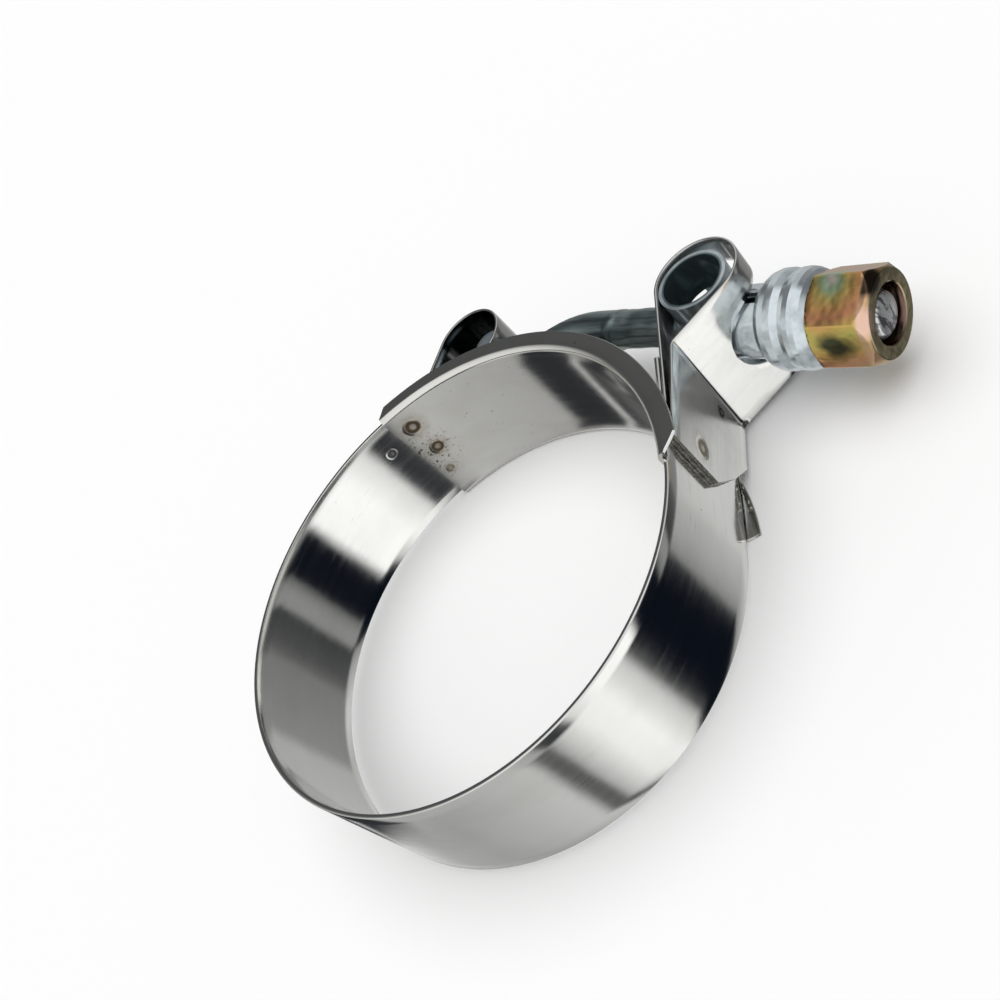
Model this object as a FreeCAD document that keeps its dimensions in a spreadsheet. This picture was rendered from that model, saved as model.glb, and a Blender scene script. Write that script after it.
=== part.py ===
import FreeCAD, Part
import math
import os
import Sketcher
from FreeCAD import Placement, Rotation, Vector

# A band clamp with a T-bolt, lying on its side: the bore runs along Z,
# the bolt runs along +X above the bore, and the origin is the bore's centre.

doc = FreeCAD.newDocument("t_bolt_clamp")
sheet = doc.addObject("Spreadsheet::Sheet", "sizes")

SIZES = {
    # Band
    "band_inner_radius": 32.6,
    "band_thickness": 0.6,
    "band_width": 19.0,
    "band_gap_start": 113.0,
    "leg_angle": 29.2,
    "tail_length": 16.5,
    # Sheets that lie on each other
    "lay_gap": 0.05,
    "strap_thickness": 0.6,
    # Bridge under the gap of the band
    "bridge_thickness": 0.5,
    "bridge_start": 30.2,
    "bridge_end": 142.6,
    "bridge_side_gap": 0.4,
    "flange_rise": 1.85,
    "flange_bend_radius": 0.5,
    "flange_bend_steps": 3,
    "flange_slant_nut_end": 2.6,
    "flange_slant_head_end": 1.4,
    "flange_corner_radius": 0.9,
    # Bolt
    "bolt_height": 42.6,
    "bolt_end": 42.8,
    "thread_radius": 3.1,
    "thread_length": 25.0,
    "shank_radius": 2.75,
    "shank_flat_depth": 0.22,
    "shank_flat_margin": 1.0,
    "neck_radius": 2.85,
    "neck_angle": 34.8,
    "neck_bend_radius": 12.0,
    "neck_straight": 3.2,
    "ridge_width": 1.0,
    "ridge_height": 0.25,
    "bolt_end_chamfer": 0.7,
    "head_length": 14.0,
    "head_edge_chamfer": 0.5,
    # Trunnion
    "barrel_radius": 4.7,
    "trunnion_thickness": 0.7,
    "barrel_length": 18.2,
    "window_half_height": 3.6,
    "window_half_width": 3.45,
    "stem_radius": 4.75,
    "stem_slit": 1.6,
    "slit_length": 7.4,
    "collar_start": 7.2,
    "collar_end": 14.8,
    "collar_radius": 6.4,
    "collar_groove": 0.3,
    "collar_end_radius": 5.5,
    "collar_steps": 5,
    "bolt_clearance": 0.25,
    # Loop at the nut
    "nut_loop_radius": 5.45,
    "barrel_drop": 0.6,
    "slant_angle": 56.0,
    "leg_bend_radius": 0.9,
    "leg_gap": 0.9,
    "tail_gap": 0.1,
    "strap_foot": 3.4,
    "barrel_slot_margin": 0.4,
    "slot_drop": 0.6,
    "strap_crop_length": 7.4,
    "strap_crop_width": 8.2,
    # Loop at the T-head
    "head_loop_radius": 5.1,
    "head_loop_angle": 115.4,
    "head_pull_angle": 20.0,
    "head_gap": 0.1,
    "head_leg_direction": 277.4,
    "head_foot_angle": 141.5,
    "neck_slot_margin": 0.35,
    "neck_slot_length": 9.4,
    # Nut
    "nut_across_flats": 11.1,
    "nut_height": 8.0,
    "nut_turned_by": 18.5,
    "nut_seat_gap": 0.05,
    "nut_fit": 0.04,
    "nut_front_radius": 5.3,
    "nut_front_cone": 1.5,
    "nut_back_radius": 5.5,
    "nut_back_cone": 0.5,
    "nut_recess_radius": 3.6,
    "nut_recess_depth": 2.0,
}

for row, (name, value) in enumerate(SIZES.items(), start=1):
    sheet.set(f"A{row}", name)
    sheet.set(f"B{row}", str(value))
    sheet.setAlias(f"B{row}", name)
doc.recompute()


def size(name):
    return float(sheet.get(name))


# Sizes that follow from the driving ones
band_outer = size("band_inner_radius") + size("band_thickness")
floor_outer = size("band_inner_radius") - size("lay_gap")
floor_inner = floor_outer - size("bridge_thickness")
half_strap = size("strap_thickness") / 2
leg_angle = size("leg_angle")
bolt_y = size("bolt_height")


def polar(radius, degrees):
    angle = math.radians(degrees)
    return Vector(radius * math.cos(angle), radius * math.sin(angle), 0)


# Sketch and outline helpers


def plane_of(body, role):
    for feature in body.Origin.OriginFeatures:
        if feature.Role == role:
            return feature
    raise LookupError(role)


def new_body(label):
    body = doc.addObject("PartDesign::Body", label)
    body.Label = label
    return body


def new_sketch(body, name, role, offset=Placement()):
    sketch = body.newObject("Sketcher::SketchObject", name)
    sketch.AttachmentSupport = (plane_of(body, role), [""])
    sketch.MapMode = "FlatFace"
    sketch.AttachmentOffset = offset
    return sketch


def line(start, end):
    return Part.LineSegment(start, end)


def arc(centre, radius, first, last):
    circle = Part.Circle(centre, Vector(0, 0, 1), radius)
    low, high = sorted((first, last))
    return Part.ArcOfCircle(circle, math.radians(low), math.radians(high))


def folded(centre, radius, first, last, steps):
    # A bend drawn as a few straight facets
    steps = int(steps)
    points = [centre + polar(radius, first + (last - first) * k / steps) for k in range(steps + 1)]
    return [line(a, b) for a, b in zip(points, points[1:])]


def rectangle(left, bottom, right, top):
    sides = ((left, bottom), (right, bottom), (right, top), (left, top))
    corners = [Vector(x, y, 0) for x, y in sides]
    return [line(corners[i], corners[(i + 1) % 4]) for i in range(4)]


def offset_point(piece, at_end, side):
    # A point beside the start or end of a run of the centre line
    if piece[0] == "line":
        start, end = piece[1], piece[2]
        along = (end - start).normalize()
        point = end if at_end else start
        return point + Vector(-along.y, along.x, 0) * side
    centre, radius, first, last = piece[1:]
    turn = 1 if last > first else -1
    angle = last if at_end else first
    return centre + polar(radius - turn * side, angle)


def strip(centre_line, thickness):
    # The outline of a strip of sheet along a chain of lines and arcs
    edges = []
    for side in (thickness / 2, -thickness / 2):
        for piece in centre_line:
            if piece[0] == "line":
                edges.append(line(offset_point(piece, False, side), offset_point(piece, True, side)))
            else:
                centre, radius, first, last = piece[1:]
                turn = 1 if last > first else -1
                edges.append(arc(centre, radius - turn * side, first, last))
    for piece, at_end in ((centre_line[0], False), (centre_line[-1], True)):
        left = offset_point(piece, at_end, thickness / 2)
        right = offset_point(piece, at_end, -thickness / 2)
        edges.append(line(left, right))
    return edges


def pad_strip(body, name, centre_line, thickness):
    sketch = new_sketch(body, name + "_outline", "XY_Plane")
    sketch.addGeometry(strip(centre_line, thickness), False)
    pad = body.newObject("PartDesign::Pad", name)
    pad.Profile = sketch
    pad.Midplane = True
    pad.setExpression("Length", "sizes.band_width")
    doc.recompute()
    return pad


def pocket_through(body, name, sketch, length, upper_only=False):
    # Cuts both ways from the sketch's plane, or only above it
    before = body.Shape.Volume
    pocket = body.newObject("PartDesign::Pocket", name)
    pocket.Profile = sketch
    pocket.Midplane = not upper_only
    pocket.Reversed = upper_only
    pocket.Length = length
    doc.recompute()
    if body.Shape.Volume > before - 1e-3:
        raise RuntimeError(name + " removes nothing")
    return pocket


def meet(point_a, direction_a, point_b, direction_b):
    # Where two lines of the plane cross
    cross = direction_a.x * direction_b.y - direction_a.y * direction_b.x
    gap = point_b - point_a
    along = (gap.x * direction_b.y - gap.y * direction_b.x) / cross
    return point_a + direction_a * along


def rounded_corner(corner, towards, away, radius):
    # The arc that rounds a corner, as (start, centre, end), for unit directions
    # towards the corner and away from it
    turn = towards.cross(away).z
    half = math.acos(max(-1.0, min(1.0, towards.dot(away)))) / 2
    reach = radius * math.tan(half)
    start = corner - towards * reach
    end = corner + away * reach
    normal = Vector(-towards.y, towards.x, 0) * (1 if turn > 0 else -1)
    return start, start + normal * radius, end


def arc_piece(centre, start, end, turn):
    # A run of the centre line, turning left for 1 and right for -1
    radius = (start - centre).Length
    first = math.degrees(math.atan2(start.y - centre.y, start.x - centre.x))
    last = math.degrees(math.atan2(end.y - centre.y, end.x - centre.x))
    while turn > 0 and last < first:
        last += 360
    while turn < 0 and last > first:
        last -= 360
    return ("arc", centre, radius, first, last)


# Band: a ring with its gap over the bolt, and a straight tail under the nut's loop
leg_out = polar(1, leg_angle)
leg_up = polar(1, leg_angle + 90)
band_middle = size("band_inner_radius") + size("band_thickness") / 2
tail_start = leg_out * band_middle
tail_end = tail_start + leg_up * size("tail_length")
band = new_body("band")
ring_centre = Vector(0, 0, 0)
band_path = [
    ("arc", ring_centre, band_middle, size("band_gap_start"), 360 + leg_angle),
    ("line", tail_start, tail_end),
]
pad_strip(band, "band_strip", band_path, size("band_thickness"))

# Bridge: a shoe inside the gap, with a flange turned out along each side
bridge = new_body("bridge")
flange_z = size("band_width") / 2 + size("bridge_side_gap") + size("bridge_thickness")
bend_outer = size("flange_bend_radius") + size("bridge_thickness")
bend_r = floor_inner + bend_outer
flange_top = bend_r + size("flange_rise")
section = new_sketch(bridge, "bridge_section", "XZ_Plane")
floor_half = flange_z - bend_outer
edges = [line(Vector(r, -floor_half, 0), Vector(r, floor_half, 0)) for r in (floor_inner, floor_outer)]
for side in (1, -1):
    bend_centre = Vector(bend_r, side * floor_half, 0)
    first, last = (90, 180) if side > 0 else (180, 270)
    edges += folded(bend_centre, bend_outer, first, last, size("flange_bend_steps"))
    edges += folded(bend_centre, size("flange_bend_radius"), first, last, size("flange_bend_steps") - 1)
    outside = side * flange_z
    inside = side * (flange_z - size("bridge_thickness"))
    edges.append(line(Vector(bend_r, outside, 0), Vector(flange_top, outside, 0)))
    edges.append(line(Vector(flange_top, outside, 0), Vector(flange_top, inside, 0)))
    edges.append(line(Vector(flange_top, inside, 0), Vector(bend_r, inside, 0)))
section.addGeometry(edges, False)
shoe = bridge.newObject("PartDesign::Revolution", "bridge_shoe")
shoe.Profile = section
shoe.ReferenceAxis = (section, ["V_Axis"])
shoe.setExpression("Angle", "sizes.bridge_end - sizes.bridge_start")
shoe.Reversed = False
bridge.Placement = Placement(ring_centre, Rotation(Vector(0, 0, 1), size("bridge_start")))
doc.recompute()

# The flanges' ends lean towards the middle and have a rounded corner
flange_foot = bend_r
span = size("bridge_end") - size("bridge_start")
for name, end_angle, inward, slant in (
    ("flange_cut_nut_end", 0.0, 1, size("flange_slant_nut_end")),
    ("flange_cut_head_end", span, -1, size("flange_slant_head_end")),
):
    along = polar(1, end_angle + 90) * inward
    out = polar(1, end_angle)
    foot = out * flange_foot
    slope = (out * (flange_top - flange_foot) + along * slant).normalize()
    over = out * (flange_top - flange_foot)
    cut = new_sketch(bridge, name + "_outline", "XY_Plane")
    tip_corner = foot + out * (flange_top - flange_foot) + along * slant
    rim = Vector(-tip_corner.y, tip_corner.x, 0).normalize() * inward
    start, centre, end = rounded_corner(tip_corner, slope, rim, size("flange_corner_radius"))
    start_angle = math.degrees(math.atan2(start.y - centre.y, start.x - centre.x))
    end_arc = math.degrees(math.atan2(end.y - centre.y, end.x - centre.x))
    if abs(end_arc - start_angle) > 180:
        end_arc += 360 if end_arc < start_angle else -360
    beyond = foot - along * size("flange_rise")
    lift = end + over * 0.8
    cut.addGeometry(
        [
            line(foot, start),
            arc(centre, size("flange_corner_radius"), start_angle, end_arc),
            line(end, lift),
            line(lift, beyond + over * 2.0),
            line(beyond + over * 2.0, beyond),
            line(beyond, foot),
        ],
        False,
    )
    pocket_through(bridge, name, cut, 4 * flange_z, upper_only=name == "flange_cut_nut_end")

# Loop at the nut: a doubled strap, both legs welded to the band's tail
inner_leg = band_outer + size("lay_gap") + half_strap
loop_mid = size("nut_loop_radius") + half_strap
loop_reach = inner_leg + loop_mid
loop_y = bolt_y + size("barrel_drop")
loop_x = (loop_reach - loop_y * leg_out.y) / leg_out.x
nut_loop_centre = Vector(loop_x, loop_y, 0)
leg_foot = leg_out * inner_leg + leg_up * size("strap_foot")
leg_top = nut_loop_centre - leg_out * loop_mid
slant_heading = leg_angle + 270 - size("slant_angle")
slant_way = polar(1, slant_heading)
slant_top = nut_loop_centre + polar(loop_mid, slant_heading + 90 - 360)
corner_reach = inner_leg + 2 * half_strap + size("leg_gap")
reach_left = (slant_top.dot(leg_out) - corner_reach) / -slant_way.dot(leg_out)
leg_corner = slant_top + slant_way * reach_left
foot_reach = inner_leg + 2 * half_strap + size("tail_gap")
outer_foot = leg_out * foot_reach + leg_up * size("strap_foot")
outer_way = (outer_foot - leg_corner).normalize()
bend_start, bend_centre, bend_end = rounded_corner(
    leg_corner, slant_way, outer_way, size("leg_bend_radius") + half_strap
)
nut_side_loop = new_body("nut_side_loop")
nut_loop_path = [
    ("line", leg_foot, leg_top),
    arc_piece(nut_loop_centre, leg_top, slant_top, -1),
    ("line", slant_top, bend_start),
    arc_piece(bend_centre, bend_start, bend_end, 1),
    ("line", bend_end, outer_foot),
]
pad_strip(nut_side_loop, "nut_loop_strap", nut_loop_path, size("strap_thickness"))

# One long slot over the loop lets the trunnion's stem and the bolt through
slot_radius = size("stem_radius") + size("barrel_slot_margin")
slot_centre = bolt_y - size("stem_radius") - size("slot_drop") + slot_radius
slot_top = loop_y + 2 * loop_mid
slot = new_sketch(nut_side_loop, "stem_slot_outline", "YZ_Plane")
slot.addGeometry(
    [
        arc(Vector(slot_centre, 0, 0), slot_radius, 90, 270),
        line(Vector(slot_centre, slot_radius, 0), Vector(slot_top, slot_radius, 0)),
        line(Vector(slot_top, slot_radius, 0), Vector(slot_top, -slot_radius, 0)),
        line(Vector(slot_top, -slot_radius, 0), Vector(slot_centre, -slot_radius, 0)),
    ],
    False,
)
pocket_through(nut_side_loop, "stem_slot", slot, 6 * bolt_y)

# The strap's end is cropped at its far corner, square to the legs
crop_turn = Rotation(Vector(0, 0, 1), leg_angle)
crop_lift = Rotation(Vector(0, 1, 0), 90)
crop = new_sketch(
    nut_side_loop,
    "crop_outline",
    "XY_Plane",
    Placement(Vector(0, 0, 0), crop_turn.multiply(crop_lift)),
)
crop_side = size("band_width") / 2
crop_low = size("strap_foot")
crop_past = size("strap_crop_width") / 4
crop.addGeometry(
    [
        line(
            Vector(crop_side + crop_past, crop_low - crop_past, 0),
            Vector(crop_side - size("strap_crop_width"), crop_low - crop_past, 0),
        ),
        line(
            Vector(crop_side - size("strap_crop_width"), crop_low - crop_past, 0),
            Vector(crop_side - size("strap_crop_width"), crop_low, 0),
        ),
        line(
            Vector(crop_side - size("strap_crop_width"), crop_low, 0),
            Vector(crop_side - size("strap_crop_width") / 2.2, crop_low + size("strap_crop_length") / 2.2, 0),
        ),
        line(
            Vector(crop_side - size("strap_crop_width") / 2.2, crop_low + size("strap_crop_length") / 2.2, 0),
            Vector(crop_side + crop_past, crop_low + size("strap_crop_length") * 1.3, 0),
        ),
        line(
            Vector(crop_side + crop_past, crop_low + size("strap_crop_length") * 1.3, 0),
            Vector(crop_side + crop_past, crop_low - crop_past, 0),
        ),
    ],
    False,
)
pocket_through(nut_side_loop, "strap_crop", crop, 4 * bolt_y)

# Loop at the T-head: its inner leg hugs the band, its outer leg lies on the inner one
head_loop_mid = size("head_loop_radius") + half_strap
hug = inner_leg
head_angle = size("head_loop_angle")
head_loop_centre = polar(hug + head_loop_mid, head_angle)
hug_top = polar(hug, head_angle)
fall_way = polar(1, size("head_leg_direction"))
fall_top = head_loop_centre + polar(head_loop_mid, size("head_leg_direction") - 90)
lap = hug + 2 * half_strap + size("lay_gap")
fold = size("leg_bend_radius") + half_strap
# The fold's centre stands one fold radius off the falling leg and off the lap
fold_side = fall_top + Vector(fall_way.y, -fall_way.x, 0) * fold
fold_reach = lap + fold
foot_b = fold_side.dot(fall_way)
foot_c = fold_side.dot(fold_side) - fold_reach**2
fold_travel = -foot_b - math.sqrt(foot_b**2 - foot_c)
fold_centre = fold_side + fall_way * fold_travel
fold_start = fall_top + fall_way * fold_travel
fold_end = fold_centre - fold_centre / fold_centre.Length * fold
fold_angle = math.degrees(math.atan2(fold_end.y, fold_end.x))
head_side_loop = new_body("head_side_loop")
head_loop_path = [
    ("arc", ring_centre, hug, size("head_foot_angle"), head_angle),
    arc_piece(head_loop_centre, hug_top, fall_top, 1),
    ("line", fall_top, fold_start),
    arc_piece(fold_centre, fold_start, fold_end, -1),
    ("arc", ring_centre, lap, fold_angle, size("head_foot_angle")),
]
pad_strip(head_side_loop, "head_loop_strap", head_loop_path, size("strap_thickness"))

# T-head centre: pulled against the loop's wall
head_play = size("head_loop_radius") - size("neck_radius") - size("head_gap")
head_centre = head_loop_centre + polar(head_play, size("head_pull_angle"))
print("bolt pivot", round(head_centre.x, 3), round(head_centre.y, 3))

# A slot in the loop lets the bolt's neck out
neck_way = polar(1, size("neck_angle"))
neck_frame = Placement(head_centre, Rotation(Vector(0, 0, 1), size("neck_angle")))
slot_tilt = Placement(Vector(0, 0, 0), Rotation(Vector(1, 1, 1), 120))
neck_slot = new_sketch(
    head_side_loop,
    "neck_slot_outline",
    "XY_Plane",
    neck_frame.multiply(slot_tilt),
)
neck_slot_radius = size("neck_radius") + size("neck_slot_margin")
neck_half = size("neck_slot_length") / 2 - neck_slot_radius
neck_slot.addGeometry(
    [
        arc(Vector(neck_half, 0, 0), neck_slot_radius, -90, 90),
        line(Vector(neck_half, neck_slot_radius, 0), Vector(-neck_half, neck_slot_radius, 0)),
        arc(Vector(-neck_half, 0, 0), neck_slot_radius, 90, 270),
        line(Vector(-neck_half, -neck_slot_radius, 0), Vector(neck_half, -neck_slot_radius, 0)),
    ],
    False,
)
before = head_side_loop.Shape.Volume
neck_pocket = head_side_loop.newObject("PartDesign::Pocket", "neck_slot")
neck_pocket.Profile = neck_slot
neck_pocket.Length = 2 * head_loop_mid
neck_pocket.Reversed = True
doc.recompute()
if head_side_loop.Shape.Volume > before - 1e-3:
    raise RuntimeError("neck_slot removes nothing")

# T-bolt: a bent round rod with a cross bar at its root
neck_corner = meet(head_centre, neck_way, Vector(0, bolt_y, 0), Vector(1, 0, 0))
bend_in, rod_bend_centre, bend_out = rounded_corner(
    neck_corner, neck_way, Vector(1, 0, 0), size("neck_bend_radius")
)
t_bolt = new_body("t_bolt")
spine = new_sketch(t_bolt, "neck_spine", "XY_Plane")
neck_bend = arc_piece(rod_bend_centre, bend_in, bend_out, -1)
ridge_x = bend_out.x + size("neck_straight")
spine.addGeometry(
    [
        line(head_centre, bend_in),
        arc(neck_bend[1], neck_bend[2], neck_bend[3], neck_bend[4]),
        line(bend_out, Vector(ridge_x, bolt_y, 0)),
    ],
    False,
)
neck_section = new_sketch(t_bolt, "neck_section", "XY_Plane", neck_frame.multiply(slot_tilt))
neck_section.addGeometry(Part.Circle(Vector(0, 0, 0), Vector(0, 0, 1), size("neck_radius")), False)
neck_section.addConstraint(Sketcher.Constraint("Radius", 0, size("neck_radius")))
neck_section.setExpression("Constraints[0]", "sizes.neck_radius")
neck = t_bolt.newObject("PartDesign::AdditivePipe", "neck")
neck.Profile = neck_section
neck.Spine = (spine, ["Edge1", "Edge2", "Edge3"])
doc.recompute()

# Shank, ridge and threaded end turned about the bolt's axis
shank = new_sketch(t_bolt, "shank_half_section", "XY_Plane")
thread_start = size("bolt_end") - size("thread_length")
ridge_r = size("neck_radius") + size("ridge_height")
chamfer = size("bolt_end_chamfer")
shank_r = size("shank_radius")
thread_r = size("thread_radius")
runout = thread_r - shank_r
profile = [
    (bend_out.x, 0),
    (bend_out.x, size("neck_radius")),
    (ridge_x - size("ridge_height"), size("neck_radius")),
    (ridge_x, ridge_r),
    (ridge_x + size("ridge_width"), ridge_r),
    (ridge_x + size("ridge_width") + ridge_r - shank_r, shank_r),
    (thread_start - runout, shank_r),
    (thread_start, thread_r),
    (size("bolt_end") - chamfer, thread_r),
    (size("bolt_end"), thread_r - chamfer),
    (size("bolt_end"), 0),
]
corners = [Vector(x, bolt_y + r, 0) for x, r in profile]
shank.addGeometry([line(a, b) for a, b in zip(corners, corners[1:] + corners[:1])], False)
axis_line = shank.addGeometry(line(corners[-1], corners[0]), True)
turned = t_bolt.newObject("PartDesign::Revolution", "turned_end")
turned.Profile = shank
turned.ReferenceAxis = (shank, ["Axis0"])
turned.Angle = 360
doc.recompute()

# Four long flats on the shank, left by the forming dies
flats_start = ridge_x + size("ridge_width") + size("shank_flat_margin")
flats = new_sketch(
    t_bolt,
    "flats_outline",
    "YZ_Plane",
    Placement(Vector(0, 0, flats_start), Rotation()),
)
flat_edge = shank_r - size("shank_flat_depth")
flat_geometry = []
for turn in range(4):
    turned_by = Rotation(Vector(0, 0, 1), 45 + 90 * turn)
    box = [
        Vector(flat_edge, -shank_r, 0),
        Vector(thread_r, -shank_r, 0),
        Vector(thread_r, shank_r, 0),
        Vector(flat_edge, shank_r, 0),
    ]
    placed = [turned_by.multVec(corner) + Vector(bolt_y, 0, 0) for corner in box]
    flat_geometry += [line(a, b) for a, b in zip(placed, placed[1:] + placed[:1])]
flats.addGeometry(flat_geometry, False)
before = t_bolt.Shape.Volume
flat_cut = t_bolt.newObject("PartDesign::Pocket", "shank_flats")
flat_cut.Profile = flats
flat_cut.Length = thread_start - runout - size("shank_flat_margin") - flats_start
flat_cut.Reversed = True
doc.recompute()
if t_bolt.Shape.Volume > before - 1e-3:
    raise RuntimeError("shank_flats removes nothing")

# The cross bar, as long as its place between the loop's ears
bar = new_sketch(t_bolt, "head_outline", "XY_Plane")
bar.addGeometry(Part.Circle(head_centre, Vector(0, 0, 1), size("neck_radius")), False)
bar.addConstraint(Sketcher.Constraint("Radius", 0, size("neck_radius")))
bar.setExpression("Constraints[0]", "sizes.neck_radius")
cross_bar = t_bolt.newObject("PartDesign::Pad", "head")
cross_bar.Profile = bar
cross_bar.Midplane = True
cross_bar.setExpression("Length", "sizes.head_length")
doc.recompute()
rims = []
for index, edge in enumerate(cross_bar.Shape.Edges, start=1):
    flat = abs(edge.BoundBox.ZLength) < 1e-6
    if flat and abs(abs(edge.BoundBox.ZMin) - size("head_length") / 2) < 1e-6:
        rims.append(f"Edge{index}")
head_round = t_bolt.newObject("PartDesign::Chamfer", "head_rims")
head_round.Base = (cross_bar, rims)
head_round.setExpression("Size", "sizes.head_edge_chamfer")
doc.recompute()

# Trunnion: one folded pressing, a rolled barrel that carries two half stems and a collar
barrel_x = (
    inner_leg + half_strap + size("barrel_radius") + size("lay_gap") - bolt_y * leg_out.y
) / leg_out.x
barrel_centre = Vector(barrel_x, bolt_y, 0)
wall = size("trunnion_thickness")
stem_inner = size("stem_radius") - wall
collar_bore = size("thread_radius") + size("bolt_clearance")
trunnion = new_body("trunnion")
barrel_sketch = new_sketch(trunnion, "barrel_outline", "XY_Plane")
barrel_sketch.addGeometry(Part.Circle(barrel_centre, Vector(0, 0, 1), size("barrel_radius")), False)
barrel_sketch.addConstraint(Sketcher.Constraint("Radius", 0, size("barrel_radius")))
barrel_sketch.setExpression("Constraints[0]", "sizes.barrel_radius")
barrel = trunnion.newObject("PartDesign::Pad", "barrel")
barrel.Profile = barrel_sketch
barrel.Midplane = True
barrel.setExpression("Length", "sizes.barrel_length")
doc.recompute()

# Stem and collar in one half section about the bolt's axis
stem_sketch = new_sketch(trunnion, "stem_half_section", "XY_Plane")
begin = barrel_x + size("collar_start")
finish = barrel_x + size("collar_end")
collar_r = size("collar_radius")
waist = collar_r - size("collar_groove")
middle = begin + (finish - begin) * 0.56
groove = Vector(middle, bolt_y + waist, 0)
rise_start = Vector(begin, bolt_y + size("stem_radius"), 0)
crest = Vector(begin + (middle - begin) * 0.62, bolt_y + collar_r, 0)
second = Vector(middle + (finish - middle) * 0.35, bolt_y + collar_r - 0.05, 0)
rim_end = Vector(finish, bolt_y + size("collar_end_radius"), 0)
steps = int(size("collar_steps"))
waves = Part.Arc(rise_start, crest, groove).toShape().discretize(steps + 1)
waves += Part.Arc(groove, second, rim_end).toShape().discretize(steps + 1)[1:]
stem_geometry = [
    line(Vector(barrel_x, bolt_y, 0), Vector(barrel_x, bolt_y + size("stem_radius"), 0)),
    line(Vector(barrel_x, bolt_y + size("stem_radius"), 0), rise_start),
    line(rim_end, Vector(finish, bolt_y, 0)),
    line(Vector(finish, bolt_y, 0), Vector(barrel_x, bolt_y, 0)),
]
stem_geometry += [line(a, b) for a, b in zip(waves, waves[1:])]
stem_sketch.addGeometry(stem_geometry, False)
stem_sketch.addGeometry(line(Vector(barrel_x, bolt_y, 0), Vector(finish, bolt_y, 0)), True)
stem = trunnion.newObject("PartDesign::Revolution", "stem")
stem.Profile = stem_sketch
stem.ReferenceAxis = (stem_sketch, ["Axis0"])
stem.Angle = 360
doc.recompute()

# The bolt's way: wide inside the stem, narrow through the collar
way_sketch = new_sketch(trunnion, "bolt_way_half_section", "XY_Plane")
cone_start = begin + 0.8
cone_end = cone_start + (stem_inner - collar_bore) * 1.4
way = [
    (barrel_x, 0),
    (barrel_x, stem_inner),
    (cone_start, stem_inner),
    (cone_end, collar_bore),
    (finish + 1, collar_bore),
    (finish + 1, 0),
]
way_corners = [Vector(x, bolt_y + r, 0) for x, r in way]
way_pairs = zip(way_corners, way_corners[1:] + way_corners[:1])
way_sketch.addGeometry([line(a, b) for a, b in way_pairs], False)
way_sketch.addGeometry(line(way_corners[0], way_corners[-1]), True)
bolt_way = trunnion.newObject("PartDesign::Groove", "bolt_way")
bolt_way.Profile = way_sketch
bolt_way.ReferenceAxis = (way_sketch, ["Axis0"])
bolt_way.Angle = 360
doc.recompute()

# The rolled barrel is open inside
bore_sketch = new_sketch(trunnion, "barrel_bore_outline", "XY_Plane")
bore_sketch.addGeometry(Part.Circle(barrel_centre, Vector(0, 0, 1), size("barrel_radius") - wall), False)
bore_sketch.addConstraint(Sketcher.Constraint("Radius", 0, size("barrel_radius") - wall))
bore_sketch.setExpression("Constraints[0]", "sizes.barrel_radius - sizes.trunnion_thickness")
pocket_through(trunnion, "barrel_bore", bore_sketch, 2 * size("barrel_length"))

# The window behind the barrel for the bolt
window = new_sketch(
    trunnion,
    "window_outline",
    "YZ_Plane",
    Placement(Vector(0, 0, barrel_x - size("barrel_radius")), Rotation()),
)
half_w = size("window_half_width")
half_h = size("window_half_height")
window.addGeometry(rectangle(bolt_y - half_h, -half_w, bolt_y + half_h, half_w), False)
pocket_through(trunnion, "bolt_window", window, 2 * size("barrel_radius"))

# A slit along each side of the stem, between its two halves
slit = new_sketch(
    trunnion,
    "slit_outline",
    "XZ_Plane",
    Placement(Vector(0, 0, -bolt_y), Rotation()),
)
slit_left = barrel_x + 0.5 * size("barrel_radius")
slit_right = barrel_x + size("slit_length")
slit_side = size("stem_radius") + 1
slit.addGeometry(rectangle(slit_left, -slit_side, slit_right, slit_side), False)
pocket_through(trunnion, "stem_slits", slit, size("stem_slit"))

# Nut: a hexagon with a coned, recessed outer end
nut = new_body("nut")
nut_back = finish + size("nut_seat_gap")
hexagon = new_sketch(
    nut,
    "hexagon_outline",
    "YZ_Plane",
    Placement(Vector(bolt_y, 0, nut_back), Rotation()),
)
corner_r = size("nut_across_flats") / 2 / math.cos(math.radians(30))
hex_corners = [polar(corner_r, size("nut_turned_by") + 60 * k) for k in range(6)]
hex_pairs = zip(hex_corners, hex_corners[1:] + hex_corners[:1])
hexagon.addGeometry([line(a, b) for a, b in hex_pairs], False)
hex_pad = nut.newObject("PartDesign::Pad", "hexagon")
hex_pad.Profile = hexagon
hex_pad.setExpression("Length", "sizes.nut_height")
doc.recompute()
nut_front = nut_back + size("nut_height")
cones = new_sketch(nut, "cones_half_section", "XY_Plane")
outside_r = corner_r + 1
front_slope = size("nut_front_cone") / (corner_r - size("nut_front_radius"))
back_slope = size("nut_back_cone") / (corner_r - size("nut_back_radius"))
front = [
    (nut_front, size("nut_front_radius")),
    (nut_front + 1, size("nut_front_radius")),
    (nut_front + 1, outside_r),
    (nut_front - front_slope * (outside_r - size("nut_front_radius")), outside_r),
]
back = [
    (nut_back, size("nut_back_radius")),
    (nut_back - 1, size("nut_back_radius")),
    (nut_back - 1, outside_r),
    (nut_back + back_slope * (outside_r - size("nut_back_radius")), outside_r),
]
thread_hole = thread_r + size("nut_fit")
recess_start = nut_front - size("nut_recess_depth")
hole = [
    (nut_back - 1, 0),
    (nut_back - 1, thread_hole),
    (recess_start, thread_hole),
    (recess_start + (size("nut_recess_radius") - thread_hole), size("nut_recess_radius")),
    (nut_front + 1, size("nut_recess_radius")),
    (nut_front + 1, 0),
]
for outline in (front, back, hole):
    placed = [Vector(x, bolt_y + r, 0) for x, r in outline]
    cones.addGeometry([line(a, b) for a, b in zip(placed, placed[1:] + placed[:1])], False)
cones.addGeometry(line(Vector(nut_back, bolt_y, 0), Vector(nut_front, bolt_y, 0)), True)
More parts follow.
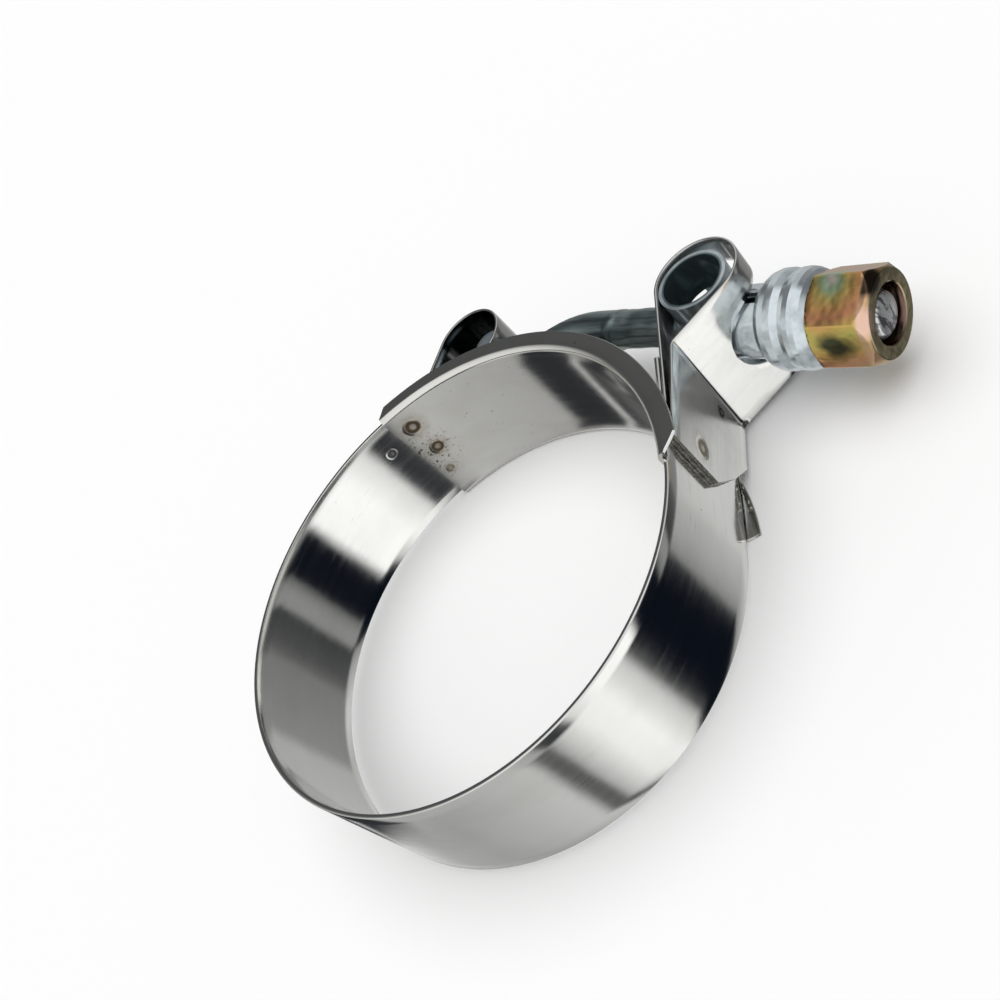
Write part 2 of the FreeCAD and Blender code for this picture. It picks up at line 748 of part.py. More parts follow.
nut_turned = nut.newObject("PartDesign::Groove", "turned_faces")
nut_turned.Profile = cones
nut_turned.ReferenceAxis = (cones, ["Axis0"])
nut_turned.Angle = 360
doc.recompute()

# Check everything, then write each sub-part
SUB_PARTS = [band, bridge, nut_side_loop, head_side_loop, t_bolt, trunnion, nut]
doc.recompute()
for item in doc.Objects:
    if "Invalid" in item.State or "Error" in item.State:
        raise RuntimeError(f"{item.Name} failed: {item.State}")
for item in SUB_PARTS:
    if item.Shape.isNull() or not item.Shape.isValid() or len(item.Shape.Solids) != 1:
        raise RuntimeError(f"{item.Label} is not one valid solid")
os.makedirs("parts", exist_ok=True)
for item in SUB_PARTS:
    item.Shape.exportStep(f"parts/{item.Label}.step")
    box = item.Shape.BoundBox
    low = (round(box.XMin, 2), round(box.YMin, 2), round(box.ZMin, 2))
    high = (round(box.XMax, 2), round(box.YMax, 2), round(box.ZMax, 2))
    print(item.Label, round(item.Shape.Volume, 1), low, high)
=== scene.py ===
import bmesh
import bpy
import cmath
import math
from mathutils import Matrix, Vector


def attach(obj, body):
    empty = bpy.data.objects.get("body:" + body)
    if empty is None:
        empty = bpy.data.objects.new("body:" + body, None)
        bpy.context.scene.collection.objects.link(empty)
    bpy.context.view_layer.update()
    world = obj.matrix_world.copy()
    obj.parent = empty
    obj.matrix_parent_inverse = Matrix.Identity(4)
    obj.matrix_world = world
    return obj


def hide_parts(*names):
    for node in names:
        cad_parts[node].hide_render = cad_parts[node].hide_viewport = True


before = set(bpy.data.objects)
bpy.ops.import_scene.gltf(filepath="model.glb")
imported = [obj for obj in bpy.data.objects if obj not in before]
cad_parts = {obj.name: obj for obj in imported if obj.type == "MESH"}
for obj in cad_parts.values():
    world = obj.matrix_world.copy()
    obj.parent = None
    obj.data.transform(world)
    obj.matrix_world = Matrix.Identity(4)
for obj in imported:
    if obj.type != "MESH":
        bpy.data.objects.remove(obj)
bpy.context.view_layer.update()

MM = 0.001
SHOWN = bpy.context.scene.collection

# Sizes in millimetres and angles in degrees, the solids' own apart from STRAP
BAND_IN, BAND_OUT, HALF_BAND = 32.6, 33.2, 9.5
BAND_START, LEG, TAIL = 113.0, 29.2, 16.5
BORE, BRIDGE_SHEET, BAND_SHEET, SOLID_STRAP = 32.05, 0.5, 0.6, 0.6
# The straps are drawn in a thinner sheet than the solids have
STRAP = 0.42
# Left between welded sheets, and between a moving piece and its seat
LAP, SEAT = 0.05, 0.1
# Rounding of a strip's edges, and rows of faces across the band and half a strap
EDGE, BAND_ROWS, STRAP_ROWS = 0.12, 10, 6
BOLT_Y = 42.6
BARREL_R, NUT_LOOP_IN = 4.7, 5.45
BAR_R, HEAD_LOOP_IN = 2.85, 5.1


def spin(degrees):
    return cmath.rect(1, math.radians(degrees))


def angle_of(value):
    return math.degrees(cmath.phase(value))


def along(value, way):
    return value.real * way.real + value.imag * way.imag


def clamp(value):
    return max(0.0, min(1.0, value))


def steps(start, stop, step):
    while start < stop:
        yield start
        start += step


def turned_below(angle, limit):
    while angle > limit:
        angle -= 360
    return angle


def turned_above(angle, limit):
    while angle < limit:
        angle += 360
    return angle


# Curves in the plane of the ring: complex points, each with the way to its left


def run_line(start, end, step):
    count = max(2, int(abs(end - start) / step) + 1)
    way = (end - start) / abs(end - start)
    return [(start + (end - start) * k / count, way * 1j) for k in range(count + 1)]


def run_arc(centre, radius, first, last, step):
    count = max(3, int(abs(last - first) / step) + 1)
    turn = 1 if last > first else -1
    points = []
    for k in range(count + 1):
        out = spin(first + (last - first) * k / count)
        points.append((centre + radius * out, -turn * out))
    return points


def chain(*runs):
    points = []
    for run in runs:
        if points and abs(points[-1][0] - run[0][0]) < 1e-4:
            run = run[1:]
        points += run
    return points


def round_corner(corner, towards, away, radius):
    turn = 1 if (towards.conjugate() * away).imag > 0 else -1
    half = abs(cmath.phase(away / towards)) / 2
    reach = radius * math.tan(half)
    start, end = corner - towards * reach, corner + away * reach
    centre = start + towards * 1j * turn * radius
    first = angle_of(start - centre)
    last = first + math.degrees(2 * half) * turn
    return start, run_arc(centre, radius, first, last, step=8.0), end


# Meshes


def weld(mesh):
    work = bmesh.new()
    work.from_mesh(mesh)
    bmesh.ops.remove_doubles(work, verts=work.verts, dist=0.002 * MM)
    bmesh.ops.recalc_face_normals(work, faces=work.faces)
    work.to_mesh(mesh)
    work.free()


def smooth(mesh, sharp):
    mesh.polygons.foreach_set("use_smooth", [True] * len(mesh.polygons))
    mesh.set_sharp_from_angle(angle=math.radians(sharp))
    mesh.update()


def new_piece(name, verts, faces, body, node, slot_name, sharp=32.0):
    mesh = bpy.data.meshes.new(name)
    mesh.from_pydata([Vector(v) * MM for v in verts], [], faces)
    mesh.validate()
    obj = bpy.data.objects.new(name, mesh)
    SHOWN.objects.link(obj)
    weld(mesh)
    smooth(mesh, sharp)
    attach(obj, body)
    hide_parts(node)
    return obj


def joined(*parts):
    verts, faces = [], []
    for more_verts, more_faces in parts:
        shift = len(verts)
        verts += more_verts
        faces += [tuple(i + shift for i in face) for face in more_faces]
    return verts, faces


def tube(loops, closed=False):
    # A skin over loops of equal length, capped at its ends or closed on itself
    count = len(loops[0])
    verts = [point for loop in loops for point in loop]
    starts = list(range(0, len(verts), count))
    following = starts[1:] + starts[:1] if closed else starts[1:]
    faces = []
    for a, b in zip(starts, following):
        for k in range(count):
            n = (k + 1) % count
            faces.append((a + k, a + n, b + n, b + k))
    if not closed:
        last = starts[-1]
        faces.append(tuple(reversed(range(count))))
        faces.append(tuple(range(last, last + count)))
    return verts, faces


def circle(centre, across, up, radius, sides):
    # The radius may be a function of the angle
    points = []
    for k in range(sides):
        turn = 2 * math.pi * k / sides
        r = radius(turn) if callable(radius) else radius
        points.append(tuple(centre + across * (r * math.cos(turn)) + up * (r * math.sin(turn))))
    return points


def rim(half, edge):
    # Half of a rounded sheet edge, as (across, past the flat part)
    return [(half, 0.0), (half - 0.3 * edge, 0.7 * edge), (half - edge, edge)]


def slab(path, half, low, high, rows, open_low=False, open_high=False):
    # A strip of sheet over a path, from low(point) to high(point) in z. An open
    # side stays without an edge where it lies at mid width.
    verts, sections = [], []
    for point, left in path:
        bottom, top = low(point), high(point)
        span = max(top - bottom, 1e-3)
        flat_low = open_low and abs(bottom) < 1e-6
        flat_high = open_high and abs(top) < 1e-6
        e_low = 0.0 if flat_low else min(EDGE, span / 3)
        e_high = 0.0 if flat_high else min(EDGE, span / 3)
        inner = span - e_low - e_high
        levels = [bottom + e_low + inner * k / rows for k in range(rows + 1)]
        upper, lower = rim(half, e_high), rim(half, e_low)[1:]
        loop = [(half, z) for z in levels]
        loop += [(across, top - e_high + past) for across, past in upper[1:]]
        loop += [(-across, top - e_high + past) for across, past in reversed(upper)]
        loop += [(-half, z) for z in reversed(levels[:-1])]
        loop += [(-across, bottom + e_low - past) for across, past in lower]
        loop += [(across, bottom + e_low - past) for across, past in reversed(lower)]
        sections.append((len(verts), flat_low, flat_high))
        for across, z in loop:
            spot = point + left * across
            verts.append((spot.real, spot.imag, z))
    count = len(loop)
    faces = []
    for (a, low_a, high_a), (b, low_b, high_b) in zip(sections, sections[1:]):
        for k in range(count):
            on_high = rows <= k < rows + 5
            on_low = k >= 2 * rows + 5
            if (on_high and high_a and high_b) or (on_low and low_a and low_b):
                continue
            n = (k + 1) % count
            faces.append((a + k, b + k, b + n, a + n))
    last = sections[-1][0]
    faces.append(tuple(range(count)))
    faces.append(tuple(reversed(range(last, last + count))))
    return verts, faces


def low_edge(_):
    return -HALF_BAND


def high_edge(_):
    return HALF_BAND


# Band

leg_out, leg_up = spin(LEG), spin(LEG) * 1j
band_mid = (BAND_IN + BAND_OUT) / 2
band_path = chain(
    run_arc(0j, band_mid, BAND_START, 360 + LEG, step=1.2),
    run_line(leg_out * band_mid, leg_out * band_mid + leg_up * TAIL, step=1.0),
)
band_slab = slab(band_path, BAND_SHEET / 2, low_edge, high_edge, BAND_ROWS)
band = new_piece("band_strip", *band_slab, "ring", "band", "band_steel")

# Bridge: a U section swept round the bore

BRIDGE_START, BRIDGE_END = 30.2, 142.6
BEND, FLANGE_Z, RISE = 1.0, 10.4, 1.85
BEND_R = BORE + BEND
FLANGE_R = BEND_R + 0.9
# Lengths over which the flange runs out: at the nut's end above and below, and at the other end
UPPER_CUT, LOWER_CUT, FAR_CUT = 2.6, 0.12, 1.4
# Rounding of the flange's lip, along the sheet and across it
LIP_ALONG, LIP_ACROSS = 0.1, 0.12


def flange_rise(theta, upper):
    # How far the flange stands above its bend at this angle
    from_nut = math.radians(theta - BRIDGE_START) * FLANGE_R
    from_head = math.radians(BRIDGE_END - theta) * FLANGE_R
    near_cut = UPPER_CUT if upper else LOWER_CUT
    return RISE * clamp(min(from_nut / near_cut, from_head / FAR_CUT))


def bridge_side(theta, side):
    # Bend and flange on the bore's face, as radius, z and the face's normal
    points = []
    for k in range(7):
        turn = math.radians(180 - 15 * k)
        out_r, out_z = math.cos(turn), math.sin(turn)
        z = side * (FLANGE_Z - BEND + BEND * out_z)
        points.append((BEND_R + BEND * out_r, z, out_r, side * out_z))
    rise = flange_rise(theta, side > 0)
    points += [(BEND_R + rise * k / 3, side * FLANGE_Z, 0.0, side * 1.0) for k in (1, 2, 3)]
    return points


def bridge_section(theta):
    flat_half = FLANGE_Z - BEND
    flat = [(BORE, -flat_half + 2 * flat_half * k / 8, -1.0, 0.0) for k in range(1, 8)]
    face = bridge_side(theta, -1)[::-1] + flat + bridge_side(theta, 1)
    (low_r, low_z), (top_r, top_z) = face[0][:2], face[-1][:2]
    for end in (0, -1):
        r, z, out_r, out_z = face[end]
        face[end] = (r - LIP_ALONG, z, out_r, out_z)
    section = [(r, z) for r, z, _, _ in face]
    section += [(top_r, top_z - LIP_ACROSS), (top_r, top_z - BRIDGE_SHEET + LIP_ACROSS)]
    section += [
        (r - out_r * BRIDGE_SHEET, z - out_z * BRIDGE_SHEET) for r, z, out_r, out_z in reversed(face)
    ]
    section += [(low_r, low_z + BRIDGE_SHEET - LIP_ACROSS), (low_r, low_z + LIP_ACROSS)]
    out = spin(theta)
    return [((out * r).real, (out * r).imag, z) for r, z in section]


def bridge_angles():
    # Even steps, with closer ones where the flange runs out
    count = 110
    even = [BRIDGE_START + (BRIDGE_END - BRIDGE_START) * k / count for k in range(count + 1)]
    close = [0.15, 0.4, 0.8, 1.2, 1.8, 2.4, 3.0, 3.6, 4.2]
    ends = [BRIDGE_START + step for step in close] + [BRIDGE_END - step for step in close]
    return sorted(set(even + ends))


bridge_tube = tube([bridge_section(theta) for theta in bridge_angles()])
bridge = new_piece("bridge_shoe", *bridge_tube, "ring", "bridge", "bridge_steel", 40.0)

# Loop at the nut: up the leg, round the barrel, down the slant and back to the foot

# The loop's centre above the bolt, the foot's height up the leg and the slant's angle
LOOP_LIFT, FOOT, SLANT = 0.6, 3.4, 56.0
# The outer corner's reach beyond the sheets and its bend, and the gap at the foot
CORNER_OUT, CORNER_BEND, FOOT_GAP = 0.9, 1.2, 0.1
BARREL_X = (BAND_OUT + SEAT + SOLID_STRAP + BARREL_R - BOLT_Y * leg_out.imag) / leg_out.real
INNER_LEG = BAND_OUT + LAP + STRAP / 2
LOOP_R = NUT_LOOP_IN + STRAP / 2
loop_y = BOLT_Y + LOOP_LIFT
loop_x = (BAND_OUT + LAP + SOLID_STRAP + NUT_LOOP_IN - loop_y * leg_out.imag) / leg_out.real
nut_loop = complex(loop_x, loop_y)
slant = spin(LEG + 270 - SLANT)
leg_foot = leg_out * INNER_LEG + leg_up * FOOT
leg_top = nut_loop - leg_out * LOOP_R
slant_top = nut_loop + LOOP_R * slant * 1j
corner_reach = BAND_OUT + LAP + 1.5 * SOLID_STRAP + CORNER_OUT
travel = (along(slant_top, leg_out) - corner_reach) / -along(slant, leg_out)
leg_corner = slant_top + slant * travel
outer_foot = leg_out * (INNER_LEG + STRAP + FOOT_GAP) + leg_up * FOOT
outer_way = (outer_foot - leg_corner) / abs(outer_foot - leg_corner)
bend_start, bend_run, bend_end = round_corner(leg_corner, slant, outer_way, CORNER_BEND)
loop_first = angle_of(leg_top - nut_loop)
loop_last = turned_below(angle_of(slant_top - nut_loop), loop_first)
nut_loop_path = chain(
    run_line(leg_foot, leg_top, step=0.3),
    run_arc(nut_loop, LOOP_R, loop_first, loop_last, step=3.0),
    run_line(slant_top, bend_start, step=0.3),
    bend_run,
    run_line(bend_end, outer_foot, step=0.3),
)

# The slot for the trunnion's stems, round at its foot
STEM_R, STEM_ROOM, STEM_DROP = 4.75, 0.4, 0.6
SLOT_R = STEM_R + STEM_ROOM
slot_bottom = BOLT_Y - STEM_R - STEM_DROP
slot_centre = slot_bottom + SLOT_R

# The far corner's crop, as places up the leg and in z, with a kink on its way down
# and its end a little below the strap's lower edge
CROP_LENGTH, CROP_DEPTH, CROP_TOP, KINK_SHARE = 7.4, 8.2, 12, 2.2
CROP_START = (FOOT, -1.3)
RAGGED = ((0.07, 9.0), (0.05, 21.0))
CROP_KINK = (FOOT + CROP_LENGTH / KINK_SHARE, -HALF_BAND + CROP_DEPTH / KINK_SHARE)
CROP_END = (FOOT + CROP_LENGTH * 1.3, -HALF_BAND - 2.05)


def stem_slot(point):
    y = point.imag
    if y <= slot_bottom:
        return 0.0
    if y >= slot_centre:
        return SLOT_R
    return math.sqrt(max(SLOT_R**2 - (slot_centre - y) ** 2, 0.0))


def crop(point):
    # The lower edge of the strap: cropped at the foot, and a little ragged there
    t = along(point, leg_up)
    if t > CROP_TOP:
        return -HALF_BAND
    start, end = (CROP_START, CROP_KINK) if t <= CROP_KINK[0] else (CROP_KINK, CROP_END)
    z = start[1] + (end[1] - start[1]) * (t - start[0]) / (end[0] - start[0])
    ragged = sum(depth * math.sin(t * rate) for depth, rate in RAGGED)
    return max(-HALF_BAND, z + ragged)


nut_strap = joined(
    slab(nut_loop_path, STRAP / 2, stem_slot, high_edge, STRAP_ROWS, open_low=True),
    slab(nut_loop_path, STRAP / 2, crop, lambda p: -stem_slot(p), STRAP_ROWS, open_high=True),
)
nut_side = new_piece("nut_loop_strap", *nut_strap, "ring", "nut_side_loop", "strap_steel")

# Loop at the T-head: along the band, round the bar, down and folded back along the band

HEAD_ANGLE, FALL_ANGLE, FOOT_ANGLE = 115.4, 277.4, 141.5
FOLD = 0.9
HEAD_R = HEAD_LOOP_IN + STRAP / 2
head_loop = (INNER_LEG + HEAD_R) * spin(HEAD_ANGLE)
fall = spin(FALL_ANGLE)
fall_top = head_loop + HEAD_R * spin(FALL_ANGLE - 90)
outer_lap = INNER_LEG + STRAP + LAP
fold_r = FOLD + STRAP / 2
# The fold's centre runs beside the fall until it is at the fold's distance from the lap
beside = fall_top + complex(fall.imag, -fall.real) * fold_r
beside_along = along(beside, fall)
beside_past = abs(beside) ** 2 - (outer_lap + fold_r) ** 2
fold_travel = -beside_along - math.sqrt(beside_along**2 - beside_past)
fold_centre = beside + fall * fold_travel
fold_start = fall_top + fall * fold_travel
fold_end = fold_centre - fold_centre / abs(fold_centre) * fold_r
head_first = angle_of(INNER_LEG * spin(HEAD_ANGLE) - head_loop)
head_last = turned_above(angle_of(fall_top - head_loop), head_first)
fold_first = angle_of(fold_start - fold_centre)
fold_last = turned_below(angle_of(fold_end - fold_centre), fold_first)
head_loop_path = chain(
    run_arc(0j, INNER_LEG, FOOT_ANGLE, HEAD_ANGLE, step=1.0),
    run_arc(head_loop, HEAD_R, head_first, head_last, step=3.0),
    run_line(fall_top, fold_start, step=0.5),
    run_arc(fold_centre, fold_r, fold_first, fold_last, step=8.0),
    run_arc(0j, outer_lap, angle_of(fold_end), FOOT_ANGLE, step=1.0),
)

# The T-head's centre, where the bar rests against the solid loop's inside
NECK, SEAT_ANGLE = 34.8, 20.0
solid_head_loop = (BAND_OUT + LAP + SOLID_STRAP + HEAD_LOOP_IN) * spin(HEAD_ANGLE)
head = solid_head_loop + (HEAD_LOOP_IN - BAR_R - SEAT) * spin(SEAT_ANGLE)

# The slot for the bolt's neck, round at both ends
NECK_SLOT, NECK_SLOT_REACH = BAR_R + 0.35, 4.7


def neck_slot(point):
    forward = along(point - head, spin(NECK))
    aside = abs(along(point - head, spin(NECK + 90)))
    flat = NECK_SLOT_REACH - NECK_SLOT
    if forward < 0 or aside >= NECK_SLOT_REACH:
        return 0.0
    if aside <= flat:
        return NECK_SLOT
    return math.sqrt(max(NECK_SLOT**2 - (aside - flat) ** 2, 0.0))


head_strap = joined(
    slab(head_loop_path, STRAP / 2, neck_slot, high_edge, STRAP_ROWS, open_low=True),
    slab(head_loop_path, STRAP / 2, low_edge, lambda p: -neck_slot(p), STRAP_ROWS, open_high=True),
)
head_side = new_piece("head_loop_strap", *head_strap, "ring", "head_side_loop", "strap_steel")

# T-bolt: bent neck, ridge, faceted shank and a turned thread

NECK_R, SHANK_R, THREAD_R, PITCH = 2.85, 2.75, 3.1, 0.907
NECK_BEND, RIDGE_X = 12.0, 2.2
THREAD_START, BOLT_END = 17.8, 42.8
FLATS_FROM, FLAT_DEPTH, FLAT_RUN_OUT = 2.2, 0.24, 1.2
BOW, BOW_RATE = 0.03, 1.7
THREAD_DEPTH, THREAD_RUN_IN, THREAD_CHAMFER, CORE_R = 0.5, 0.9, 0.7, 2.2
TOOTH_SLOPE, TOOTH_ROOT = 2.6, 0.25
RIDGE_TILT, TILT_FROM, TILT_PAST, TILT_RUN = 14, 0.2, 2.6, 1.4
# The ridge's lift over the neck, by the distance from its middle
RIDGE_LIFTS = (
    (-0.9, 0.0), (-0.35, 0.03), (-0.1, 0.17), (0.15, 0.25),
    (0.6, 0.25), (0.95, 0.18), (1.15, 0.02), (1.5, -0.06),
)
# The bolt's rounded end, as (past the end, radius)
BOLT_TIP = ((0.0, 2.35), (0.1, 2.0), (0.2, 1.2), (0.24, 0.4))
# One half of the T-head's bar, from its end inwards, as (z, radius)
BAR_HALF = (
    (7.0, 1.2), (7.0, 2.3), (6.92, 2.52), (6.72, 2.72), (6.4, 2.83), (6.0, BAR_R), (3.0, BAR_R),
)
UP = Vector((0, 0, 1))


def station(point, way, radius):
    left = way * 1j
    return (Vector((point.real, point.imag, 0)), Vector((left.real, left.imag, 0)), UP, radius)


def ridge(lift):
    # The ridge stands highest under the bolt, where the dies closed
    return lambda turn: NECK_R + lift * (0.55 - 0.45 * math.cos(turn))


def shank_radius(x):
    # Four long flats, run out at both ends
    run_in = clamp((x - RIDGE_X - FLATS_FROM) / FLAT_RUN_OUT)
    run_out = clamp((THREAD_START - FLAT_RUN_OUT - x) / FLAT_RUN_OUT)
    depth = FLAT_DEPTH * run_in * run_out

    def radius(turn):
        face = (turn + math.pi / 4) % (math.pi / 2) - math.pi / 4
        flat = (SHANK_R - depth) / math.cos(face)
        bow = BOW * math.sin(x * BOW_RATE + turn)
        return min(SHANK_R, flat) + bow * (depth > 0)

    return radius


def thread_radius(x):
    grow = clamp((x - THREAD_START) / THREAD_RUN_IN)
    crest_r = THREAD_R - max(0.0, x - (BOLT_END - THREAD_CHAMFER))

    def radius(turn):
        phase = (x / PITCH - turn / (2 * math.pi)) % 1.0
        tooth = clamp(abs(phase - 0.5) * TOOTH_SLOPE - TOOTH_ROOT)
        depth = THREAD_DEPTH * (1 - tooth) * grow
        return max(min(crest_r, SHANK_R + (THREAD_R - SHANK_R) * grow - depth), CORE_R)

    return radius


def neck_stations():
    neck_way = spin(NECK)
    corner = head + neck_way * ((BOLT_Y - head.imag) / neck_way.imag)
    start, bend, end = round_corner(corner, neck_way, 1 + 0j, NECK_BEND)
    bend_at = Vector((start.real, start.imag, 0))
    straight = [station(head + neck_way * k, neck_way, NECK_R) for k in (0.0, 1.0, 2.0, 3.0)]
    stations = [one for one in straight if (one[0] - bend_at).length > 0.4]
    stations += [station(point, left / 1j, NECK_R) for point, left in bend]
    return stations, end.real


def ridge_stations(neck_end):
    stations = []
    lifts = [(neck_end + 0.8, 0.0)] + [(RIDGE_X + offset, lift) for offset, lift in RIDGE_LIFTS]
    for x, lift in lifts:
        tilt_in = clamp((x - TILT_FROM) / TILT_RUN)
        tilt_out = clamp((RIDGE_X + TILT_PAST - x) / TILT_RUN)
        lean = spin(-RIDGE_TILT * tilt_in * tilt_out)
        radius = ridge(lift) if lift > 0 else NECK_R + lift
        stations.append(station(complex(x, BOLT_Y), lean, radius))
    return stations


def straight_stations():
    radii = [(x, shank_radius(x)) for x in steps(RIDGE_X + FLATS_FROM, THREAD_START - 0.2, 0.5)]
    radii += [(x, thread_radius(x)) for x in steps(THREAD_START, BOLT_END - 0.01, PITCH / 8)]
    radii += [(BOLT_END + past, r) for past, r in BOLT_TIP]
    return [station(complex(x, BOLT_Y), 1 + 0j, radius) for x, radius in radii]


def bar_loops():
    profile = [(-z, r) for z, r in BAR_HALF] + [(0.0, BAR_R)] + list(reversed(BAR_HALF))
    across, up = Vector((1, 0, 0)), Vector((0, 1, 0))
    return [circle(Vector((head.real, head.imag, z)), across, up, r, 48) for z, r in profile]


to_ridge, neck_end_x = neck_stations()
rod_stations = to_ridge + ridge_stations(neck_end_x) + straight_stations()
rod = tube([circle(*one, 64) for one in rod_stations])
bolt = new_piece(
    "bolt_rod", *joined(rod, tube(bar_loops())), "bolt", "t_bolt", "bolt_zinc", 35.0
)

# Nut: a coned hexagon with a recess

NUT_A, NUT_LENGTH, FLATS, NUT_ANGLE = 35.26, 8.0, 11.1, 18.5
NUT_B = NUT_A + NUT_LENGTH
CORNER = FLATS / 2 / math.cos(math.radians(30))
# Each end's cone, as its least radius and its length
FRONT_R, FRONT_CONE = 5.3, 1.5
BACK_R, BACK_CONE = 5.5, 0.5
# Wear of the six corners, step at each end's rim, and reach and depth of the cones' blend
WORN_CORNER, END_STEP, BLEND_REACH, BLEND_DEPTH = 0.09, 0.05, 0.06, 0.35
# The bore and its recess, from the outer end inwards
NUT_INSIDE = (
    (NUT_B, 3.85), (NUT_B - 0.12, 3.68), (NUT_B - 0.35, 3.6), (NUT_B - 1.9, 3.55),
    (NUT_B - 2.0, 3.5), (NUT_B - 2.4, 3.16), (NUT_A + 0.4, 3.16), (NUT_A, 3.5),
)


def hexagon(turn):
    turn -= math.radians(NUT_ANGLE - 30.0)
    face = (turn + math.pi / 6) % (math.pi / 3) - math.pi / 6
    return min(FLATS / 2 / math.cos(face), CORNER - WORN_CORNER)


def nut_outside(offset):
    front = FRONT_R + (CORNER - FRONT_R) / FRONT_CONE * (NUT_LENGTH - offset)
    front -= END_STEP * (offset > NUT_LENGTH - 0.01)
    back = BACK_R + (CORNER - BACK_R) / BACK_CONE * offset
    back -= END_STEP * (offset < 0.01)

    def radius(turn):
        # The cone blends softly into each flat
        least, second, _ = sorted((hexagon(turn), front, back))
        return least - max(0.0, BLEND_REACH - (second - least)) * BLEND_DEPTH

    return radius


def nut_loop_at(x, radius):
    sides, points = 144, []
    for k in range(sides):
        turn = 2 * math.pi * k / sides
        r = radius(turn) if callable(radius) else radius
        points.append((x, BOLT_Y + r * math.cos(turn), r * math.sin(turn)))
    return points


nut_offsets = [0.0, 0.08, 0.2, 0.35, 0.5, 0.8, 1.5, 3.0, 4.5, 5.5]
nut_offsets += [6.0 + 0.125 * k for k in range(16)] + [7.96, NUT_LENGTH]
nut_loops = [nut_loop_at(NUT_A + offset, nut_outside(offset)) for offset in nut_offsets]
nut_loops += [nut_loop_at(x, r) for x, r in NUT_INSIDE]
nut = new_piece(
    "nut_hexagon", *tube(nut_loops, closed=True), "lock_nut", "nut", "nut_chromate", 24.0
)

# The trunnion keeps its own mesh and is only dressed
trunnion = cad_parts["trunnion"]

# Shader nodes


def feed(tree, colour, socket):
    # A plain colour is set on the socket itself, any other is linked
    if isinstance(colour, tuple):
        socket.default_value = (*colour, 1.0)
    else:
        tree.links.new(colour, socket)


def mixed(tree, factor, first, second):
    mix = tree.nodes.new("ShaderNodeMix")
    mix.data_type = "RGBA"
    tree.links.new(factor, mix.inputs["Factor"])
    feed(tree, first, mix.inputs["A"])
    feed(tree, second, mix.inputs["B"])
    return mix.outputs["Result"]


def maths(tree, operation, *values):
    node = tree.nodes.new("ShaderNodeMath")
    node.operation = operation
    for socket, value in zip(node.inputs, values):
        if isinstance(value, (int, float)):
            socket.default_value = value
        else:
            tree.links.new(value, socket)
    return node.outputs[0]


def colour_ramp(tree, value, stops):
    ramp = tree.nodes.new("ShaderNodeValToRGB")
    elements = ramp.color_ramp.elements
    while len(elements) > 1:
        elements.remove(elements[-1])
    for index, (place, colour) in enumerate(stops):
        element = elements[0] if index == 0 else elements.new(place)
        element.position = place
        element.color = (*colour, 1.0)
    tree.links.new(value, ramp.inputs[0])
    return ramp.outputs["Color"]


